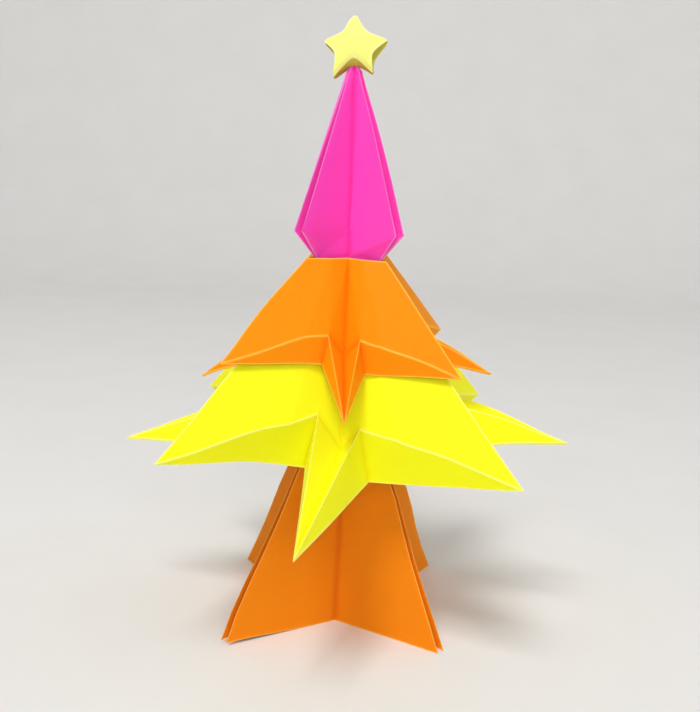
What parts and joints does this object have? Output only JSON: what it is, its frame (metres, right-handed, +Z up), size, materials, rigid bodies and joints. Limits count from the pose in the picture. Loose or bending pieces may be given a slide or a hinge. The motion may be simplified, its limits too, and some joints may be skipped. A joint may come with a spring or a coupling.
{
  "type": "origami christmas tree",
  "caption": "Folded paper christmas tree: a finned trunk, stacked pointed skirts and a tall spire with a puffed star on top, each folded from one sheet of coloured paper.",
  "frame": {"origin": "on the table, under the axis on which the folded units are stacked", "axes": "+Z up along that axis, -Y towards the viewer of the front face, +X to the viewer's right"},
  "size_m": [0.1122, 0.1122, 0.1476],
  "materials": {
    "trunk": "matte coloured origami paper",
    "lower_tier": "matte coloured origami paper",
    "upper_tier": "matte coloured origami paper",
    "spire": "matte coloured origami paper",
    "star": "matte coloured origami paper"
  },
  "bodies": {
    "root": {"trunk": "trunk", "lower_tier": "lower_tier", "upper_tier": "upper_tier", "spire": "spire", "star": "star"}
  },
  "joints": []
}
